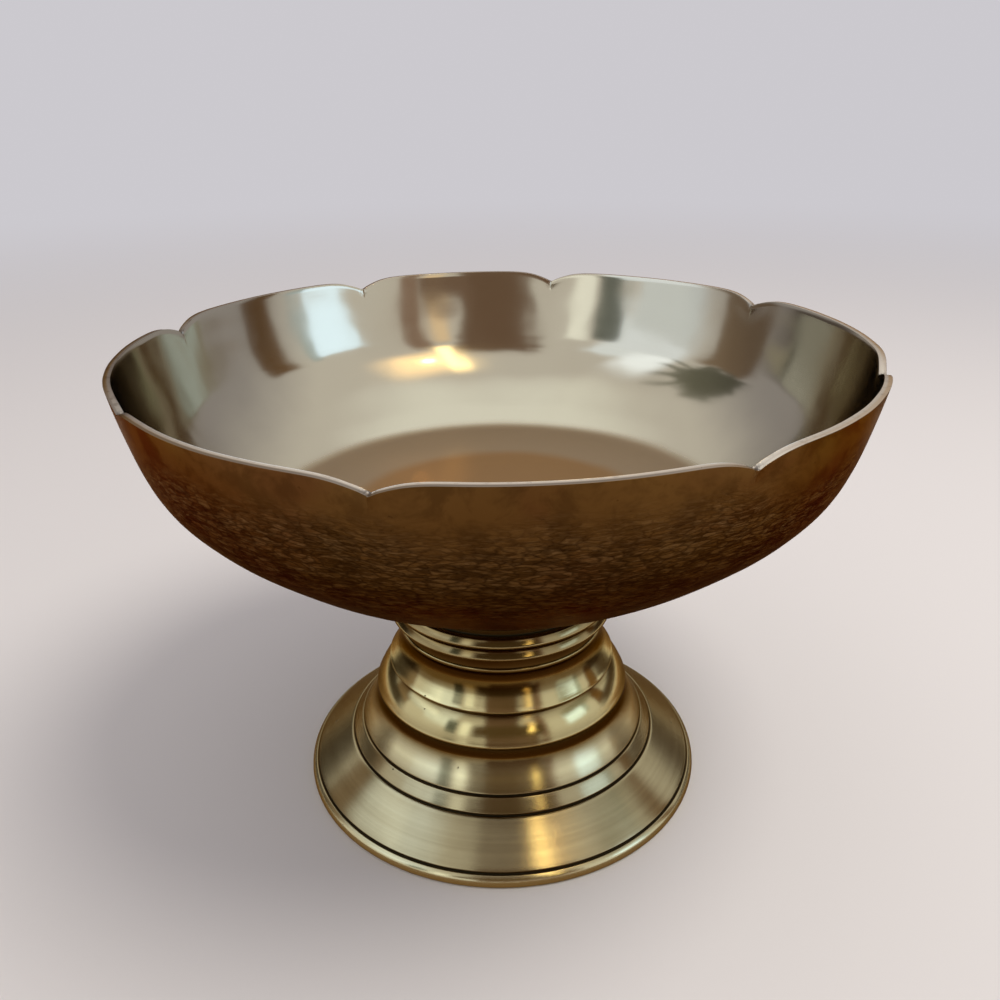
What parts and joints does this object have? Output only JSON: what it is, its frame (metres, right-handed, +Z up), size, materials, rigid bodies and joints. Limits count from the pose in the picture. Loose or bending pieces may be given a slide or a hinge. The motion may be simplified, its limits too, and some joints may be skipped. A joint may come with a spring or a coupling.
{
  "type": "pedestal bowl",
  "caption": "Footed brass bowl: a round, deep dish with a notched, lobed rim on a beaded collar and a flaring turned foot, for fruit, sweets or offerings.",
  "frame": {"origin": "centre of the circle that the foot stands on, at the level of the floor", "axes": "+Z up the bowl's axis, -Y towards the front, where one rim notch stands just left of the middle"},
  "size_m": [0.19, 0.19, 0.1285],
  "materials": {
    "bowl_brass": "polished inside, brown aged patina with fine level streaks outside",
    "collar_brass": "turned and polished, dark in its grooves",
    "foot_brass": "turned, with fine tool marks round it and dark cut lines",
    "fixing_brass": "plain, dull with age"
  },
  "bodies": {
    "root": {"bowl": "bowl_brass", "neck_collar": "collar_brass", "pedestal_foot": "foot_brass", "threaded_stud": "fixing_brass", "clamp_washer": "fixing_brass", "hex_nut": "fixing_brass"}
  },
  "joints": []
}
